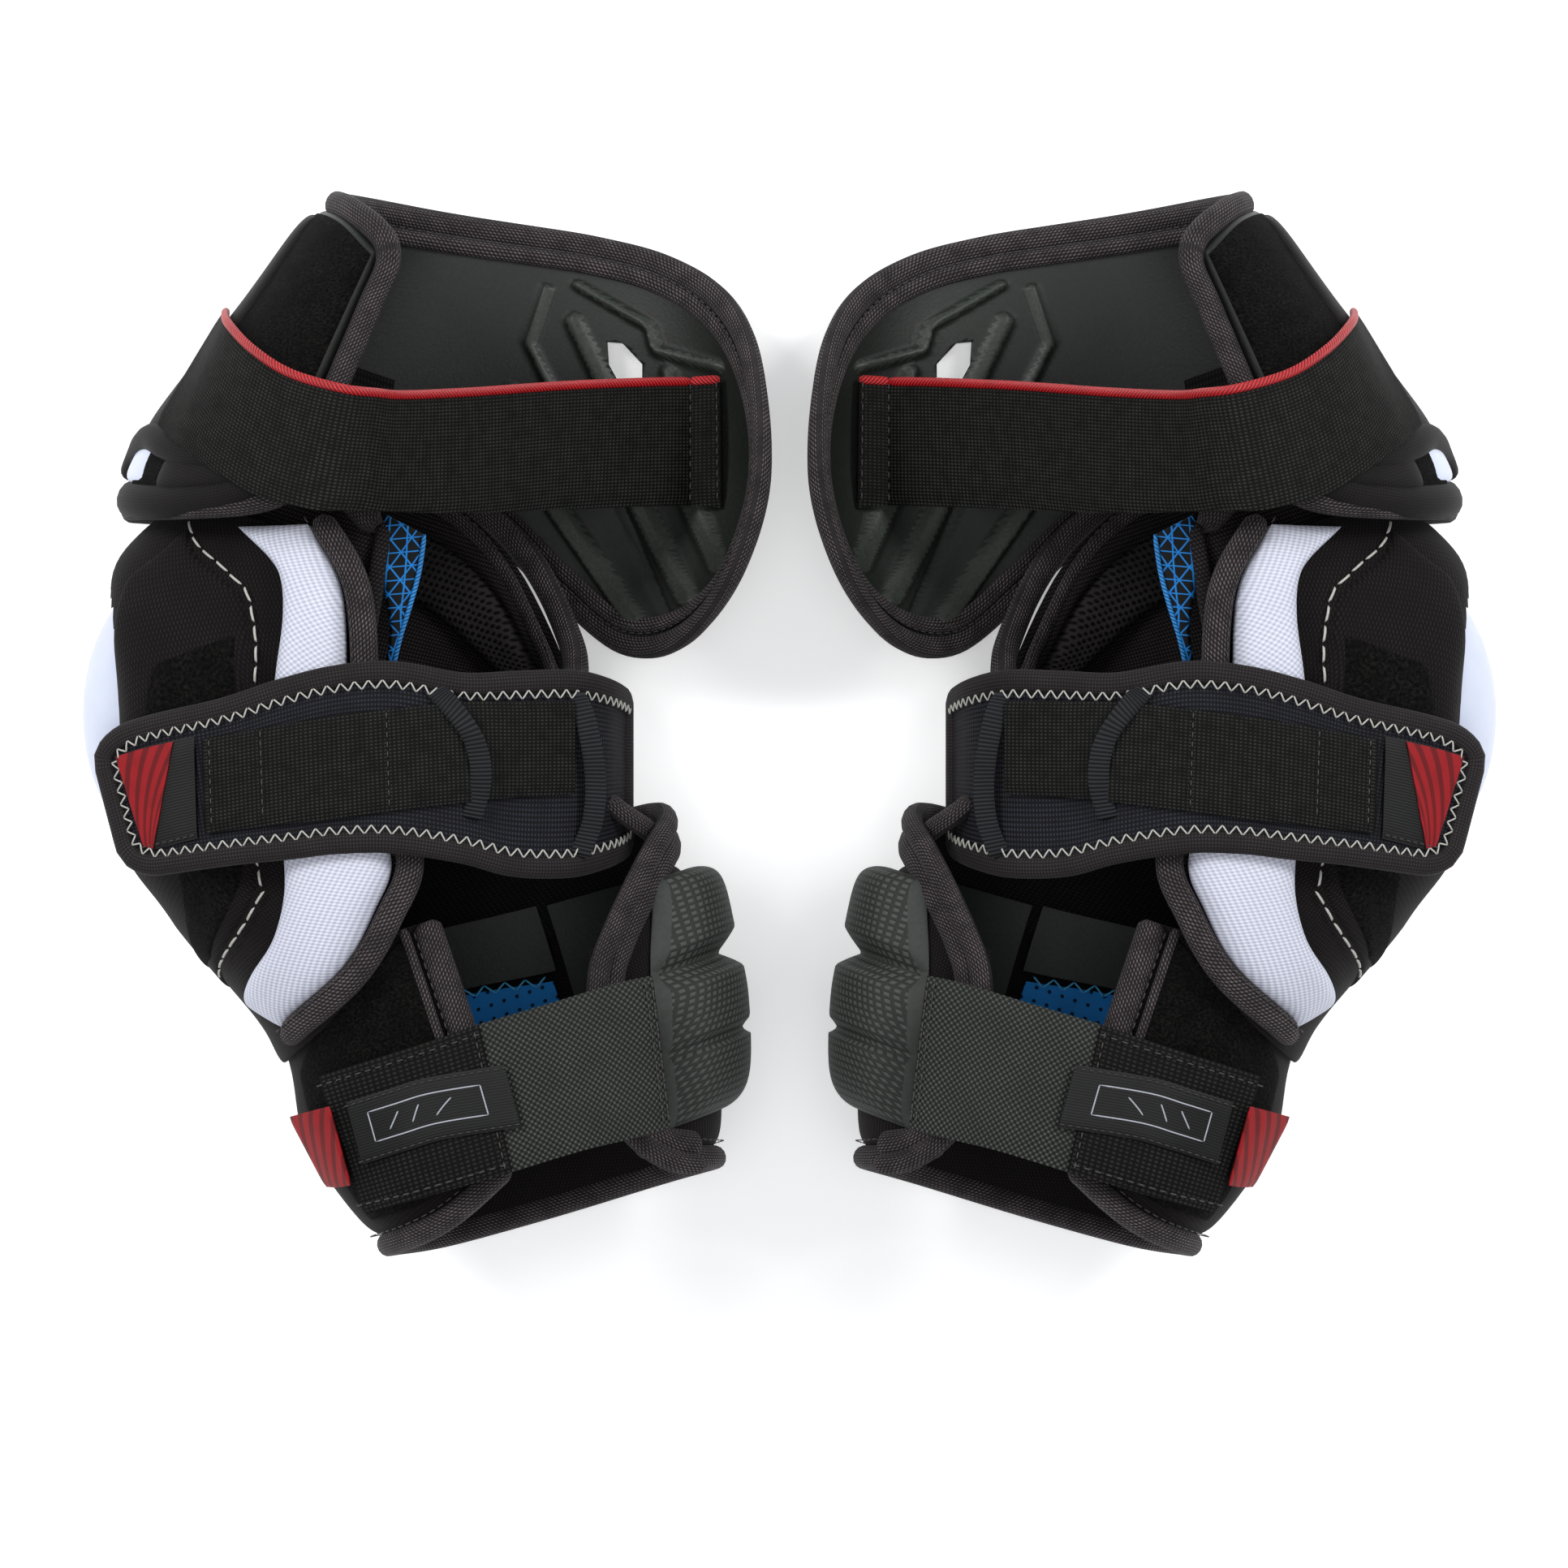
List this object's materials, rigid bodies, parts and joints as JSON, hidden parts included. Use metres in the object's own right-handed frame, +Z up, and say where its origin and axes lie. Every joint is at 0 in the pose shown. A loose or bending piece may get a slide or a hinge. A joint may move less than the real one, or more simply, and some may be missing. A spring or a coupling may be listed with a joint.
{
  "type": "ice hockey elbow pads",
  "caption": "A mirrored pair of ice hockey elbow pads with bicep guard, capped elbow sleeve and forearm cuff on each, closed by three hook-and-loop straps, lying on their outer sides.",
  "frame": {"origin": "centre of the pair's footprint on the table, z=0 at the table", "axes": "+X across the pair from the left pad to the right one, +Y up the arm towards the shoulder, +Z up from the table"},
  "size_m": [0.4524, 0.3428, 0.1271],
  "materials": {
    "white_plastic": "hard moulded polyethylene, satin white",
    "white_nylon": "ballistic nylon weave, white",
    "black_knit": "brushed knit over foam, black-brown",
    "charcoal_binding": "rolled knit binding, charcoal",
    "black_foam": "moulded closed-cell foam, matt",
    "grey_foam": "moulded foam with a fine grid texture",
    "loop_fabric": "fuzzy loop tape, black",
    "elastic": "woven elastic, black",
    "webbing": "woven strap webbing, dark grey",
    "mesh": "ribbed mesh, near black",
    "blue_mesh": "perforated lining, blue",
    "red_patch": "printed tape, red",
    "label": "woven label, black"
  },
  "bodies": {
    "left_elbow": {"left_elbow_cap": "white_plastic", "left_elbow_donut": "black_foam", "left_sleeve_liner": "mesh", "left_collar_pad": "mesh", "left_elbow_foam": "black_foam", "left_cap_cover": "black_knit", "left_near_wing": "white_nylon", "left_far_wing": "white_nylon", "left_sleeve_bindings": "charcoal_binding", "left_loop_patch": "loop_fabric"},
    "left_bicep_guard": {"left_bicep_shell": "black_foam", "left_bicep_binding": "charcoal_binding", "left_bicep_loop_panel": "loop_fabric", "left_bicep_plate": "white_plastic", "left_elastic_gusset": "elastic"},
    "left_upper_strap": {"left_upper_strap": "elastic", "left_upper_strap_hook": "loop_fabric"},
    "left_elbow_strap": {"left_elbow_strap_band": "charcoal_binding", "left_elbow_strap_webbing": "elastic", "left_elbow_strap_patch": "red_patch", "left_keeper_loops": "webbing"},
    "left_forearm": {"left_forearm_cuff": "black_knit", "left_forearm_liner": "blue_mesh", "left_cuff_loop_panel": "loop_fabric", "left_forearm_bindings": "charcoal_binding", "left_forearm_guard": "grey_foam"},
    "left_forearm_strap": {"left_forearm_strap_webbing": "webbing", "left_forearm_strap_hook": "elastic", "left_label_patch": "label", "left_pull_tab": "red_patch"},
    "right_elbow": {"right_elbow_cap": "white_plastic", "right_elbow_donut": "black_foam", "right_sleeve_liner": "mesh", "right_collar_pad": "mesh", "right_elbow_foam": "black_foam", "right_cap_cover": "black_knit", "right_near_wing": "white_nylon", "right_far_wing": "white_nylon", "right_sleeve_bindings": "charcoal_binding", "right_loop_patch": "loop_fabric"},
    "right_bicep_guard": {"right_bicep_shell": "black_foam", "right_bicep_binding": "charcoal_binding", "right_bicep_loop_panel": "loop_fabric", "right_bicep_plate": "white_plastic", "right_elastic_gusset": "elastic"},
    "right_upper_strap": {"right_upper_strap": "elastic", "right_upper_strap_hook": "loop_fabric"},
    "right_elbow_strap": {"right_elbow_strap_band": "charcoal_binding", "right_elbow_strap_webbing": "elastic", "right_elbow_strap_patch": "red_patch", "right_keeper_loops": "webbing"},
    "right_forearm": {"right_forearm_cuff": "black_knit", "right_forearm_liner": "blue_mesh", "right_cuff_loop_panel": "loop_fabric", "right_forearm_bindings": "charcoal_binding", "right_forearm_guard": "grey_foam"},
    "right_forearm_strap": {"right_forearm_strap_webbing": "webbing", "right_forearm_strap_hook": "elastic", "right_label_patch": "label", "right_pull_tab": "red_patch"}
  },
  "joints": [
    {"name": "pair_slide", "type": "slide", "parent": "left_elbow", "child": "right_elbow", "axis": [1, 0, 0], "range_m": [0, 0.15]},
    {"name": "left_forearm_flex", "type": "hinge", "parent": "left_elbow", "child": "left_forearm", "pos_m": [-0.1252, -0.003, 0.0561], "axis": [0, 0, 1], "range_deg": [0, 12]},
    {"name": "left_bicep_swing", "type": "hinge", "parent": "left_elbow", "child": "left_bicep_guard", "pos_m": [-0.1252, -0.003, 0.0561], "axis": [0, 0, 1], "range_deg": [0, 10]},
    {"name": "left_upper_strap_peel", "type": "hinge", "parent": "left_bicep_guard", "child": "left_upper_strap", "pos_m": [-0.0322, 0.091, 0.0261], "axis": [0, 1, 0], "range_deg": [0, 66]},
    {"name": "left_elbow_strap_peel", "type": "hinge", "parent": "left_elbow", "child": "left_elbow_strap", "pos_m": [-0.0472, -0.016, 0.0901], "axis": [0, 1, 0], "range_deg": [0, 85]},
    {"name": "left_forearm_strap_peel", "type": "hinge", "parent": "left_forearm", "child": "left_forearm_strap", "pos_m": [-0.0406, -0.103, 0.1031], "axis": [-0.119, 0.9929, 0], "range_deg": [0, 85]},
    {"name": "right_forearm_flex", "type": "hinge", "parent": "right_elbow", "child": "right_forearm", "pos_m": [0.1252, -0.003, 0.0561], "axis": [0, 0, -1], "range_deg": [0, 12]},
    {"name": "right_bicep_swing", "type": "hinge", "parent": "right_elbow", "child": "right_bicep_guard", "pos_m": [0.1252, -0.003, 0.0561], "axis": [0, 0, -1], "range_deg": [0, 10]},
    {"name": "right_upper_strap_peel", "type": "hinge", "parent": "right_bicep_guard", "child": "right_upper_strap", "pos_m": [0.0322, 0.091, 0.0261], "axis": [0, -1, 0], "range_deg": [0, 66]},
    {"name": "right_elbow_strap_peel", "type": "hinge", "parent": "right_elbow", "child": "right_elbow_strap", "pos_m": [0.0472, -0.016, 0.0901], "axis": [0, -1, 0], "range_deg": [0, 85]},
    {"name": "right_forearm_strap_peel", "type": "hinge", "parent": "right_forearm", "child": "right_forearm_strap", "pos_m": [0.0406, -0.103, 0.1031], "axis": [-0.119, -0.9929, 0], "range_deg": [0, 85]}
  ]
}
